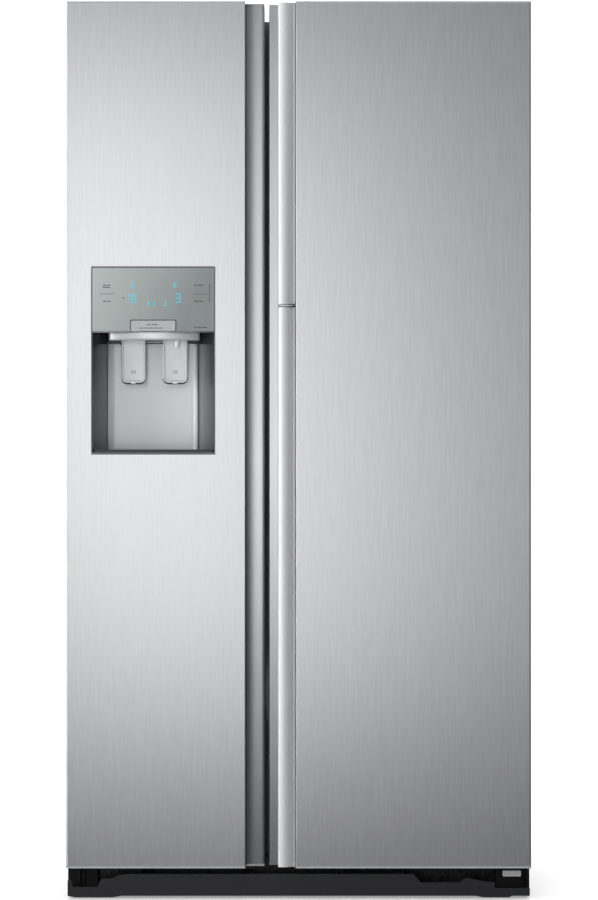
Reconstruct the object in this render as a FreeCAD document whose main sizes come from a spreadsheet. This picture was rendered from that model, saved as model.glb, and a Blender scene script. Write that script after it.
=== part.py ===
import FreeCAD, Part
import os
from types import SimpleNamespace

import Sketcher

# Side by side refrigerator.  Millimetres; +Z up, the doors face -Y, origin on the floor
# under the centre of the appliance.

VALUES = {
    # cabinet
    "cabinet_width": 908, "cabinet_front": -243, "cabinet_rear": 377, "cabinet_top": 1740,
    "skirt_low": 25, "steel": 1, "plastic": 2,
    # compartments
    "side_wall": 50, "freezer_right": -93, "fridge_left": -33, "foam_low": 75,
    "inner_low": 115, "inner_high": 1690, "inner_rear": 315,
    # machine bay at the lower rear, and the step that the liners make over it
    "bay_front": 180, "bay_top": 255, "bay_low": 30, "step_front": 150, "step_top": 290,
    # cooling system
    "coil_left": -380, "coil_right": -117, "coil_low": 615, "coil_high": 1225, "tube": 4, "fin": 1.5,
    "fan_x": -248, "fan_z": 1440, "blower_y": 278, "blower_z": 122, "can_x": 240, "can_y": 275,
    "can_radius": 76, "inlet_x": -400, "inlet_z": 150, "gland_x": 390, "gland_z": 120,
    # doors
    "door_half": 456, "door_front": -377, "door_rear": -251, "door_low": 62, "door_top": 1762,
    "skin": 1.5, "glue": 1, "cap_lip": 4, "edge_round": 4,
    "skin_end": -104.7, "freezer_free": -67.2, "grip_face": -341,
    "fridge_free": -58.4, "showcase_left": -6, "showcase_rear": -326, "inner_front": -320,
    "gasket_leg": 12, "gasket_rear": -243.3,
    # hinges
    "hinge_x": 436, "hinge_y": -275, "pin": 6, "bore": 6.05, "showcase_hinge_x": 438,
    "showcase_hinge_y": -352, "small_pin": 4, "small_bore": 4.05,
    # handles
    "handle_left": -40.8, "handle_right": -10.4, "split_high": 1168, "split_low": 1162,
    # dispenser
    "bezel_left": -407, "bezel_right": -163.5, "bezel_low": 873, "bezel_high": 1242,
    "panel_low": 1114.7, "chamber_left": -398, "chamber_right": -172.5, "recess_low": 876,
    "mouth_left": -404.5, "mouth_right": -166, "back_left": -366, "back_right": -204,
    "recess_high": 1112, "recess_rear": -290, "lever_y": -330, "lever_pivot": 1102,
    "chute_left": -356, "chute_right": -300, "tunnel_low": 1182, "tunnel_high": 1238,
    "nozzle_x": -240, "nozzle_y": -345, "auger_y": -200, "auger_z": 1212, "auger_shaft": 5,
    # storage
    "bin_height": 95, "bin_wall": 3, "window_left": 24, "window_right": 392,
    "window_low": 530, "window_high": 1672, "glass": 5, "duct_front": 262,
    "drawer_front": -120, "upper_drawer_rear": 250, "lower_drawer_rear": 140,
    "upper_drawer_floor": 322, "lower_drawer_floor": 119,
    # running gear
    "roller_radius": 20, "roller_y": 320, "roller_x": 420, "foot_x": 425, "foot_y": -205,
    "foot_radius": 20, "stem": 5, "stem_bore": 5.06, "plate_front": -352, "toe_bar": 5,
}


class Size:
    """A length that knows its number and the sheet formula that drives it."""

    def __init__(self, number, formula=None):
        self.number = float(number)
        self.formula = formula or f"({self.number!r})"

    def __add__(self, other):
        other = sized(other)
        return Size(self.number + other.number, f"({self.formula} + {other.formula})")

    def __sub__(self, other):
        other = sized(other)
        return Size(self.number - other.number, f"({self.formula} - {other.formula})")

    def __mul__(self, factor):
        return Size(self.number * factor, f"({self.formula} * {factor})")

    def __truediv__(self, factor):
        return Size(self.number / factor, f"({self.formula} / {factor})")

    def __neg__(self):
        return Size(-self.number, f"(0 - {self.formula})")

    def __radd__(self, other):
        return sized(other) + self

    def __rsub__(self, other):
        return sized(other) - self


def sized(value):
    return value if isinstance(value, Size) else Size(value)


doc = FreeCAD.newDocument("Refrigerator")
sheet = doc.addObject("Spreadsheet::Sheet", "d")
for row, (alias, value) in enumerate(VALUES.items(), 1):
    sheet.set(f"A{row}", alias)
    sheet.set(f"B{row}", str(value))
    sheet.setAlias(f"B{row}", alias)
doc.recompute()
s = SimpleNamespace(**{alias: Size(value, "d." + alias) for alias, value in VALUES.items()})

nodes = {}
half = s.cabinet_width / 2
left_wall = -half + s.side_wall
right_wall = half - s.side_wall


def new(kind):
    """A fresh working object; a finished node gets its own label later."""
    return doc.addObject(kind, "step")


def bind(item, prop, size):
    item.setExpression(prop, sized(size).formula)


def block(xs, ys, zs):
    item = new("Part::Box")
    for side, axis, (low, high) in zip(("Length", "Width", "Height"), "xyz", (xs, ys, zs)):
        bind(item, side, sized(high) - low)
        bind(item, "Placement.Base." + axis, low)
    return item


AXIS_TURNS = {
    "x": FreeCAD.Rotation(FreeCAD.Vector(0, 1, 0), 90),
    "y": FreeCAD.Rotation(FreeCAD.Vector(1, 0, 0), -90),
    "z": FreeCAD.Rotation(),
}


def rod(axis, middle, radius, low, high):
    """A cylinder along one axis; middle is its place on the other two axes, in xyz order."""
    item = new("Part::Cylinder")
    item.Placement = FreeCAD.Placement(FreeCAD.Vector(), AXIS_TURNS[axis])
    bind(item, "Radius", radius)
    bind(item, "Height", sized(high) - low)
    place = list(middle)
    place.insert("xyz".index(axis), low)
    for name, value in zip("xyz", place):
        bind(item, "Placement.Base." + name, value)
    return item


def fuse(*items):
    if len(items) == 1:
        return items[0]
    item = new("Part::MultiFuse")
    item.Shapes = list(items)
    item.Refine = True
    return item


def cut(base, *tools):
    item = new("Part::Cut")
    item.Base = base
    item.Tool = fuse(*tools)
    return item


def group(*items):
    item = new("Part::Compound")
    item.Links = list(items)
    return item


def made(shape):
    """A shape worked out from the sheet where no primitive fits."""
    item = new("Part::Feature")
    item.Shape = shape
    return item


def rounded(base, radius, picks):
    """Round the edges that picks() accepts by their middle point and direction."""
    doc.recompute()
    chosen = []
    for number, edge in enumerate(base.Shape.Edges, 1):
        if edge.Curve.TypeId == "Part::GeomLine":
            middle = edge.valueAt((edge.FirstParameter + edge.LastParameter) / 2)
            if picks(middle, edge.tangentAt(edge.FirstParameter)):
                chosen.append((number, radius, radius))
    item = new("Part::Fillet")
    item.Base = base
    item.Edges = chosen
    return item


PLANES = {"z": ("XY_Plane", 1), "y": ("XZ_Plane", -1), "x": ("YZ_Plane", 1)}


def prism(axis, outline, low, high, rounds=()):
    """A body padded along one axis from a fully constrained outline.

    rounds lists (radius, corner numbers) for edges left by those corners."""
    role, sign = PLANES[axis]
    body = new("PartDesign::Body")
    sketch = body.newObject("Sketcher::SketchObject", "outline")
    plane = next(p for p in body.Origin.OriginFeatures if p.Role == role)
    sketch.AttachmentSupport = [(plane, "")]
    sketch.MapMode = "FlatFace"
    outline = [(sized(u), sized(v)) for u, v in outline]
    spots = [FreeCAD.Vector(u.number, v.number, 0) for u, v in outline]
    for number, spot in enumerate(spots):
        sketch.addGeometry(Part.LineSegment(spot, spots[(number + 1) % len(spots)]), False)
    for number, sizes in enumerate(outline):
        following = (number + 1) % len(spots)
        sketch.addConstraint(Sketcher.Constraint("Coincident", number, 2, following, 1))
        for kind, size in zip(("DistanceX", "DistanceY"), sizes):
            rule = Sketcher.Constraint(kind, -1, 1, number, 1, size.number)
            bind(sketch, f"Constraints[{sketch.addConstraint(rule)}]", size)
    start = low if sign > 0 else -sized(high)
    bind(sketch, ".AttachmentOffset.Base.z", start)
    pad = body.newObject("PartDesign::Pad", "pad")
    pad.Profile = sketch
    bind(pad, "Length", sized(high) - low)
    doc.recompute()
    tip = pad
    for radius, corners in rounds:
        wanted = [spots[c] for c in corners]
        names = []
        for number, edge in enumerate(tip.Shape.Edges, 1):
            flat = [flattened(v.Point, axis) for v in edge.Vertexes]
            if len(flat) == 2 and any(all(f.distanceToPoint(w) < 1e-4 for f in flat) for w in wanted):
                names.append(f"Edge{number}")
        fillet = body.newObject("PartDesign::Fillet", "rounding")
        fillet.Base = (tip, names)
        bind(fillet, "Radius", radius)
        doc.recompute()
        tip = fillet
    body.Tip = tip
    return body


def flattened(point, axis):
    """A point's place in the sketch plane of a prism along this axis."""
    pairs = {"z": (point.x, point.y), "y": (point.x, point.z), "x": (point.y, point.z)}
    return FreeCAD.Vector(*pairs[axis], 0)


def ring(xs, ys, zs, leg):
    """A rectangular ring that stands in the XZ plane."""
    hole = block((xs[0] + leg, xs[1] - leg), (ys[0] - 1, ys[1] + 1), (zs[0] + leg, zs[1] - leg))
    return cut(block(xs, ys, zs), hole)


def tub(xs, ys, zs, wall):
    """An open-topped box."""
    hollow = block((xs[0] + wall, xs[1] - wall), (ys[0] + wall, ys[1] - wall), (zs[0] + wall, zs[1] + 1))
    return cut(block(xs, ys, zs), hollow)


def node(name, item):
    """Name a finished sub-part after its own file."""
    item.Label = name
    nodes[name] = item


# ---------------------------------------------------------------- cabinet

cavities = ((left_wall, s.freezer_right), (s.fridge_left, right_wall))


def cabinet_wrap():
    """Folded steel wrap: two sides, the roof, the front flange and the bar between the doors."""
    outer = block((-half, half), (s.cabinet_front, s.cabinet_rear), (s.skirt_low, s.cabinet_top))
    outer = rounded(outer, 5, lambda m, way: abs(way.y) > 0.9 and m.z > s.cabinet_top.number - 1)
    inside = block(
        (-half + s.steel, half - s.steel),
        (s.cabinet_front + s.steel, s.cabinet_rear + 1),
        (s.skirt_low - 1, s.cabinet_top - s.steel),
    )
    mouths = [
        block(xs, (s.cabinet_front - 1, s.cabinet_front + 2), (s.inner_low, s.inner_high)) for xs in cavities
    ]
    under = block(
        (-half + s.steel, half - s.steel),
        (s.cabinet_front - 1, s.cabinet_front + 2),
        (s.skirt_low - 1, s.foam_low),
    )
    return cut(outer, inside, under, *mouths)


def insulation():
    """Foam boards around both compartments and over the machine bay."""
    inner_left = -half + s.steel
    inner_right = half - s.steel
    face = s.cabinet_front + s.steel
    under_roof = s.cabinet_top - s.steel
    behind = s.cabinet_rear - s.steel
    walls = ((inner_left, left_wall), (s.freezer_right, s.fridge_left), (right_wall, inner_right))
    boards = []
    for xs in walls:
        boards.append(block(xs, (face, s.bay_front), (s.foam_low, under_roof)))
        boards.append(block(xs, (s.bay_front, s.inner_rear), (s.bay_top, under_roof)))
    for xs in cavities:
        boards.append(block(xs, (face, s.inner_rear), (s.inner_high, under_roof)))
        boards.append(block(xs, (face, s.step_front), (s.foam_low, s.inner_low)))
        boards.append(block(xs, (s.step_front, s.bay_front), (s.foam_low, s.step_top)))
        boards.append(block(xs, (s.bay_front, s.inner_rear), (s.bay_top, s.step_top)))
    boards.append(block((inner_left, inner_right), (s.inner_rear, behind), (s.bay_top, under_roof)))
    return group(*boards)


def liner(xs, ledges):
    """Moulded compartment liner with a step over the machine bay and shelf ledges."""
    t = s.plastic
    face = s.cabinet_front

    def profile(out):
        """The liner's side outline, moved out of the compartment by this much."""
        return [
            (face, s.inner_low - out), (s.step_front + out, s.inner_low - out),
            (s.step_front + out, s.step_top - out), (s.inner_rear + out, s.step_top - out),
            (s.inner_rear + out, s.inner_high + out), (face, s.inner_high + out),
        ]

    outer = prism("x", profile(Size(0)), *xs)
    inner = prism("x", [(face - 1, s.inner_low + t)] + profile(-t)[1:-1] + [(face - 1, s.inner_high - t)],
                  xs[0] + t, xs[1] - t)
    rails = []
    levels = [z - DRAWER_DROP for z in DRAWER_RIMS] + list(ledges)
    for z in levels:
        back = s.duct_front - 2 if z > s.step_top.number else s.step_front - 4
        for low, high in ((xs[0] + 1, xs[0] + 8), (xs[1] - 8, xs[1] - 1)):
            rails.append(block((low, high), (-150, back), (z - 8, z)))
    return fuse(cut(outer, inner), *rails)


# each drawer's runners sit this far under its rim, on a ledge of the liner
DRAWER_DROP = 12
DRAWER_RIMS = (296, 490)
FREEZER_SHELVES = (540, 770, 1000, 1230)
FRIDGE_SHELVES = (520, 740, 970, 1200, 1430)


def shelves(xs, levels, front):
    plates = []
    for z in levels:
        plate = block((xs[0] + 3, xs[1] - 3), (front, s.duct_front), (z, z + s.glass))
        lip = block((xs[0] + 9, xs[1] - 9), (front - 4, front), (z - 8, z + s.glass + 4))
        plates.append(fuse(plate, lip))
    return group(*plates)


def base_frame():
    """Steel chassis: side rails, cross bars, bay floor and the axle and foot brackets."""
    inner = half - s.steel
    low = s.bay_low
    bars = [
        block((-inner, -inner + 22), (s.cabinet_front, s.cabinet_rear - 2), (low, s.foam_low)),
        block((inner - 22, inner), (s.cabinet_front, s.cabinet_rear - 2), (low, s.foam_low)),
        block((-inner, inner), (s.cabinet_front, s.cabinet_front + 3), (s.toe_bar, s.foam_low)),
        block((-inner, inner), (s.bay_front - 3, s.bay_front), (low, s.foam_low)),
        block((-inner, inner), (s.bay_front - 3, s.cabinet_rear - 2), (low, low + 3)),
    ]
    pockets = []
    for side in (-1, 1):
        middle = s.roller_x * side
        pockets.append(block((middle - 13, middle + 13), (s.roller_y - 24, s.roller_y + 24), (0, 46)))
        for offset in (-15, 15):
            x = middle + offset
            bars.append(block((x - 2, x + 2), (s.roller_y - 12, s.roller_y + 12), (10, 46)))
        bars.append(block((middle - 17, middle + 17), (s.roller_y - 26, s.roller_y + 26), (46, 50)))
        foot = s.foot_x * side
        bars.append(block((foot - 14, foot + 14), (s.foot_y - 30, s.foot_y + 18), (low, s.foam_low)))
        pockets.append(rod("z", (foot, s.foot_y), s.stem_bore, low - 1, s.foam_low + 1))
    middles = (-s.roller_x, s.roller_x)
    axles = [rod("x", (s.roller_y, 20), 4, middle - 17, middle + 17) for middle in middles]
    return fuse(cut(fuse(*bars), *pockets), *axles)


def hinges():
    """Top plates with pins on the roof and bottom brackets with pins under the doors."""
    pieces = []
    for side in (-1, 1):
        x = s.hinge_x * side
        wide = sorted(((x - 14 * side), (x + 14 * side)), key=lambda size: size.number)
        spot = (x, s.hinge_y)
        arm = block(wide, (s.hinge_y - 14, -180), (s.cabinet_top, s.cabinet_top + 5))
        pieces.append(fuse(arm, rod("z", spot, s.pin, s.cabinet_top - 18, s.cabinet_top + 2)))
        shelf = block(wide, (s.hinge_y - 14, s.cabinet_front), (s.door_low - 12, s.door_low - 6))
        web = block(wide, (s.cabinet_front - 4, s.cabinet_front), (s.bay_low, s.door_low - 6))
        collar = rod("z", spot, 11, s.door_low - 8, s.door_low - 0.3)
        pieces.append(fuse(shelf, web, collar, rod("z", spot, s.pin, s.door_low - 8, s.door_low + 10)))
    return group(*pieces)


def hinge_covers():
    pieces = []
    for side in (-1, 1):
        def across(low, high):
            return sorted((s.hinge_x * side + low * side, s.hinge_x * side + high * side),
                          key=lambda size: size.number)

        roof = s.cabinet_top
        outer = fuse(
            block(across(-15.5, 15.5), (s.hinge_y - 16, s.cabinet_front - 0.5), (roof + 5.2, roof + 20)),
            block(across(-40, 15.5), (s.cabinet_front - 0.5, -170), (roof, roof + 20)),
        )
        outer = rounded(outer, 3, lambda m, way: m.z > 1759.9 and abs(way.z) < 0.1)
        hollow = fuse(
            block(across(-13.5, 13.5), (s.hinge_y - 14.2, s.cabinet_front), (roof + 5, roof + 17)),
            block(across(-38, 14.2), (s.cabinet_front - 0.5, -172), (roof - 1, roof + 17)),
        )
        cover = cut(outer, hollow, block(across(-14, 14), (-244, -240), (roof - 1, roof + 5.2)))
        pieces.append(cover)
    return group(*pieces)


def kick_plate():
    """Dark toe cover with low ends that show the bottom hinges."""
    low, heel, top = 4.5, 1.5, 47.5
    half_width = s.door_half - 1
    outline = [
        (-half_width, low), (-440, heel), (-368, heel), (-348, low), (348, low), (364, heel), (414, heel),
        (420, low), (half_width, low), (half_width, 20), (386, 20), (386, 31), (371, 32), (328, 40),
        (317, 31), (240, 31), (226, top), (-336, top), (-354, 45.5), (-369, 38.5), (-389, 38),
        (-396, 22), (-445, 22), (-447, 35), (-half_width, 35),
    ]
    face = prism("y", outline, s.plate_front, s.plate_front + 6)
    stays = [
        block((x - 12, x + 12), (s.plate_front + 6, s.cabinet_front), (30, 42))
        for x in (-300, -100, 100, 200)
    ]
    return fuse(face, *stays)


def duct_cover(xs, low, high, slot_levels, slot_half):
    """Panel in front of the air passage, with rows of vents."""
    front = s.duct_front
    panel = block(xs, (front, front + 4), (low, high))
    sides = [
        block(reach, (front, s.inner_rear - s.plastic), (low, high))
        for reach in ((xs[0], xs[0] + 4), (xs[1] - 4, xs[1]))
    ]
    middle = (xs[0] + xs[1]) / 2
    vents = [
        block((middle - slot_half, middle + slot_half), (front - 1, front + 5), (z + step, z + step + 5))
        for z in slot_levels for step in (0, 12, 24)
    ]
    return cut(fuse(panel, *sides), *vents)


def evaporator():
    """Finned coil: straight tube runs through a row of plates."""
    left, right = s.coil_left, s.coil_right
    depth, height = (273, 312), (s.coil_low, s.coil_high)
    runs = [
        rod("x", (y, s.coil_low + 25 + 70 * row), s.tube, left, right)
        for row in range(9) for y in (283, 303)
    ]
    fins = [block((x, x + s.fin), depth, height) for x in (left + 10 + 15 * n for n in range(17))]
    header = block((right - 8, right - 4), depth, height)
    return fuse(*runs, *fins, header)


def condenser():
    """Finned coil in the machine bay with its fan frame."""
    runs = [
        rod("x", (y, z), s.tube, -300, -75) for z in range(70, 176, 35) for y in range(225, 346, 40)
    ]
    fins = [block((x, x + s.fin), (205, 362), (52, 195)) for x in range(-292, -80, 16)]
    frame = cut(
        block((-60, -54), (195, 362), (33, 205)),
        rod("x", (s.blower_y, s.blower_z), 68, -61, -53),
    )
    rails = [block((-292, -54), (y, y + 4), (48, 52)) for y in (205, 358)]
    return fuse(*runs, *fins, frame, *rails)


def compressor():
    """Welded steel can on a foot plate with its terminal cover."""
    x, y = middle = (s.can_x, s.can_y)
    can = rod("z", middle, s.can_radius, 62, 190)
    doc.recompute()
    dome = new("Part::Fillet")
    dome.Base = can
    dome.Edges = [
        (n, 34, 34) for n, edge in enumerate(can.Shape.Edges, 1) if edge.Closed and len(edge.Vertexes) == 1
    ]
    foot = block((x - 90, x + 90), (y - 60, y + 60), (50, 56))
    mounts = [rod("z", (x + dx, y + dy), 11, 33, 50) for dx in (-75, 75) for dy in (-45, 45)]
    stand = rod("z", middle, 50, 54, 70)
    stub = rod("z", middle, 6, 188, 200)
    terminal = block((x + 60, x + 92), (y - 25, y + 25), (95, 150))
    return fuse(dome, foot, stand, stub, terminal, *mounts)


def fan_rotor(axis, middle, start, length, radius, blades):
    """Hub with tilted blades, turning about its own axis."""
    hub = rod(axis, middle, radius * 0.34, start, start + length)
    blade = Part.makeBox(radius * 0.74, 2.4, length * 0.9)
    blade.translate(FreeCAD.Vector(radius * 0.25, -1.2, -length * 0.45))
    blade.rotate(FreeCAD.Vector(), FreeCAD.Vector(1, 0, 0), 42)
    place = [sized(value).number for value in middle]
    place.insert("xyz".index(axis), start + length / 2)
    swept = []
    for number in range(blades):
        one = blade.copy()
        one.rotate(FreeCAD.Vector(), FreeCAD.Vector(0, 0, 1), 360 * number / blades)
        one.Placement = FreeCAD.Placement(FreeCAD.Vector(*place), AXIS_TURNS[axis]).multiply(one.Placement)
        swept.append(made(one))
    return fuse(hub, *swept)


def drawer(xs, ys, zs):
    """Tub with side runners and a raised front that carries a finger hold."""
    body = tub(xs, ys, zs, s.bin_wall)
    runners = [
        block(reach, ys, (zs[1] - DRAWER_DROP + 0.4, zs[1] - DRAWER_DROP + 3.4))
        for reach in ((xs[0] - 14, xs[0] + 1), (xs[1] - 1, xs[1] + 14))
    ]
    front = block((xs[0], xs[1]), (ys[0] - 8, ys[0] + 3), (zs[0], zs[1] + 8))
    middle = (xs[0] + xs[1]) / 2
    hold = block((middle - 60, middle + 60), (ys[0] - 9, ys[0] - 3), (zs[1] - 30, zs[1] - 8))
    return fuse(body, cut(front, hold), *runners)


def ice_maker():
    tray = block((-340, -160), (-140, -60), (1610, 1655))
    trough = rod("x", (-100, 1655), 34, -332, -168)
    ribs = [block((x - 1.5, x + 1.5), (-134, -66), (1625, 1655)) for x in range(-310, -170, 24)]
    motor = block((-160, -120), (-145, -55), (1605, 1685))
    hanger = block((-340, -160), (-60, -52), (1610, 1688))
    return fuse(cut(tray, trough), *ribs, motor, hanger)


def build_cabinet():
    node("cabinet_wrap", cabinet_wrap())
    rear = s.cabinet_rear
    between = (-half + s.steel, half - s.steel)
    node("back_panel", block(between, (rear - s.steel, rear), (s.bay_top, s.cabinet_top - s.steel)))
    node("base_frame", base_frame())
    node("insulation", insulation())
    node("freezer_liner", liner(cavities[0], FREEZER_SHELVES))
    node("fridge_liner", liner(cavities[1], FRIDGE_SHELVES))
    freezer_inner = (left_wall + s.plastic, s.freezer_right - s.plastic)
    fridge_inner = (s.fridge_left + s.plastic, right_wall - s.plastic)
    node("freezer_duct_cover", duct_cover(freezer_inner, 300, 1600, (580, 820, 1060, 1400, 1450), 90))
    node("fridge_duct_cover", duct_cover((110, 260), 300, 1660, (560, 790, 1020, 1250, 1480), 50))
    node("evaporator", evaporator())
    node("freezer_shelves", shelves(freezer_inner, FREEZER_SHELVES, -110))
    node("fridge_shelves", shelves(fridge_inner, FRIDGE_SHELVES, -130))
    node("freezer_fan", fan_rotor("y", (s.fan_x, s.fan_z), 276, 22, 52, 7))
    node("condenser_fan", fan_rotor("x", (s.blower_y, s.blower_z), -50, 26, 62, 7))
    node("ice_maker", ice_maker())
    node("water_filter", rod("x", (60, 1648), 30, 150, 398))
    node("compressor", compressor())
    node("condenser", condenser())
    vents = [
        block((x, x + 60), (rear - 4, rear + 1), (z, z + 6))
        for x in range(-300, 151, 90) for z in range(80, 221, 20)
    ]
    plate = block((-half + 3, half - 3), (rear - 2, rear - 1), (36, s.bay_top - 1))
    inlet, lead = (s.inlet_x, s.inlet_z), (s.gland_x, s.gland_z)
    node("rear_cover", cut(plate, *vents, rod("y", inlet, 12, 370, 380), rod("y", lead, 16, 370, 380)))
    valve = block((s.inlet_x - 20, s.inlet_x + 20), (320, 358), (s.inlet_z - 25, s.inlet_z + 50))
    spigot = rod("y", inlet, 9, 355, rear - 0.5)
    node("water_valve", cut(fuse(valve, spigot), rod("y", inlet, 3.22, 352, rear + 1)))
    gland = fuse(rod("y", lead, 15.5, 366, rear - 0.5), rod("y", lead, 19, 360, 372))
    node("power_inlet", cut(gland, rod("y", lead, 5, 359, rear + 1)))
    node("hinges", hinges())
    node("hinge_covers", hinge_covers())
    node("kick_plate", kick_plate())
    for name, xs in (("freezer_drawer", (-385, -112)), ("crisper", (-13, 384))):
        upper, lower = (s.drawer_front, s.upper_drawer_rear), (s.drawer_front, s.lower_drawer_rear)
        node(name + "_upper", drawer(xs, upper, (s.upper_drawer_floor, DRAWER_RIMS[1])))
        node(name + "_lower", drawer(xs, lower, (s.lower_drawer_floor, DRAWER_RIMS[0])))
    for name, side in (("left", -1), ("right", 1)):
        x = s.roller_x * side
        axle = (s.roller_y, s.roller_radius)
        wheel = rod("x", axle, s.roller_radius, x - 11, x + 11)
        node("roller_" + name, cut(wheel, rod("x", axle, 4.06, x - 12, x + 12)))
        spot = (s.foot_x * side, s.foot_y)
        pad, nut = rod("z", spot, s.foot_radius, 0, 8), rod("z", spot, 11, 8, 16)
        node("foot_" + name, fuse(pad, nut, rod("z", spot, s.stem, 10, 66)))


# ---------------------------------------------------------------- doors

def hinge_notch(side):
    """Space at a door's top rear corner where the roof hinge reaches in."""
    xs = (s.hinge_x - 34, s.door_half + 1) if side > 0 else (-s.door_half - 1, -s.hinge_x + 34)
    return block(xs, (s.hinge_y - 45, s.door_rear + 1), (s.cabinet_top - 2, s.door_top + 1))


def hinge_bores(side):
    spot = (s.hinge_x * side, s.hinge_y)
    return (
        rod("z", spot, s.bore, s.cabinet_top - 20, s.cabinet_top),
        rod("z", spot, s.bore, s.door_low - 1, s.door_low + 12),
    )


def handle(low, high, back, right):
    """Convex bar with an undercut for the fingers behind its left edge."""
    front = s.door_front
    left = s.handle_left
    outline = [
        (left, front + 16), (left, front), (left + 8, front), (left + 16, front + 1.2),
        (left + 24, front + 4), (right, front + 9), (right, back),
        (left + 19, back), (left + 19, front + 19), (left + 12, front + 16),
    ]
    return prism("z", outline, low, high, [(3, (1,))])


def build_freezer_door():
    skin, front, rear = s.skin, s.door_front, s.door_rear
    left = -s.door_half
    end, free, grip = s.skin_end, s.freezer_free, s.grip_face
    low, top = s.door_low, s.door_top
    notch = hinge_notch(-1)
    outline = [
        (left, rear), (left, front), (end, front), (end, front + 16), (end - skin, front + 16),
        (end - skin, front + skin), (left + skin, front + skin), (left + skin, rear),
    ]
    folded = prism("z", outline, low + s.cap_lip, top - s.cap_lip,
                   [(s.edge_round, (1,)), (s.edge_round - skin, (6,)), (1.4, (2,))])
    window = block((s.bezel_left, s.bezel_right), (front - 1, front + 3), (s.bezel_low, s.bezel_high))
    node("freezer_door_skin", cut(folded, window, notch))

    pocket = end - 16
    channel = [
        (end - skin, front + 16), (pocket, front + 18), (pocket, grip - 2), (end, grip + 4),
        (free - 14, grip), (free, grip), (free, rear), (free - 2, rear),
        (free - 2, grip + 2), (free - 14, grip + 2),
        (end, grip + 6), (pocket - 2, grip), (pocket - 2, front + 16), (end - skin, front + 14),
    ]
    node("freezer_grip", prism("z", channel, low + s.cap_lip, top - s.cap_lip, [(2, (5,))]))

    cell = (s.bezel_left - 5, s.bezel_right + 5.5)
    hole = (s.bezel_low - 8, s.bezel_high + 8)
    face, back = front + skin + s.glue, rear - 2
    core_left, core_right = left + skin + s.glue, pocket - 2
    core_low, core_top = low + 24, top - 48
    slab = s.recess_rear + 10
    boards = [
        block((core_left, core_right), (face, back), (core_low, hole[0])),
        block((core_left, core_right), (face, back), (hole[1], core_top)),
        block((core_left, cell[0]), (face, back), hole),
        block((cell[1], core_right), (face, back), hole),
        block((core_right, free - 2), (grip + 6, back), (core_low, core_top)),
        block(cell, (slab, back), (hole[0], s.tunnel_low)),
        block(cell, (slab, back), (s.tunnel_high, hole[1])),
        block((cell[0], s.chute_left), (slab, back), (s.tunnel_low, s.tunnel_high)),
        block((s.chute_right, cell[1]), (slab, back), (s.tunnel_low, s.tunnel_high)),
    ]
    node("freezer_door_core", group(*boards))

    tunnel = block((s.chute_left, s.chute_right), (-400, -200), (s.tunnel_low, s.tunnel_high))
    inner = block((left + skin, free - 2), (back, rear), (low + 4, top - 4))
    rails = [block(xs, (rear, rear + 42), (520, 1660)) for xs in ((-398, -390), (-134, -126))]
    node("freezer_door_liner", cut(fuse(inner, *rails), tunnel, notch))

    lip = [(left, rear), (left, front), (end, front), (end, grip), (free, grip), (free, rear)]
    caps = []
    for lip_low, insert_low, insert_high in ((low, low + 4, core_low), (top - 4, core_top, top - 4)):
        plate = prism("z", lip, lip_low, lip_low + s.cap_lip, [(s.edge_round, (1,)), (1.4, (2,)), (2, (4,))])
        plug = block((core_left + 0.2, pocket - 2), (face + 0.2, back), (insert_low, insert_high))
        tail = block((pocket - 2, free - 2), (grip + 6, back), (insert_low, insert_high))
        caps.append(cut(fuse(plate, plug, tail), notch, *hinge_bores(-1)))
    node("freezer_door_caps", group(*caps))

    seal = ring((-434, -78), (rear, s.gasket_rear), (86, 1728), s.gasket_leg)
    node("freezer_gasket", seal)

    bins = [tub((-389, -135), (rear, -148), (z, z + s.bin_height), s.bin_wall) for z in (560, 770, 980)]
    node("freezer_door_bins", group(*bins))

    build_dispenser(tunnel)


def niche(front, rear, inset):
    """Plan of the dispenser recess between two depths: its sides close in towards the back."""
    run = s.recess_rear.number - s.door_front.number

    def side(y, mouth, back, step):
        depth = (sized(y).number - s.door_front.number) / run
        return mouth + (back - mouth) * depth + step

    return [
        (side(front, s.mouth_left, s.back_left, inset), front),
        (side(rear, s.mouth_left, s.back_left, inset), rear),
        (side(rear, s.mouth_right, s.back_right, -inset), rear),
        (side(front, s.mouth_right, s.back_right, -inset), front),
    ]


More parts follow.
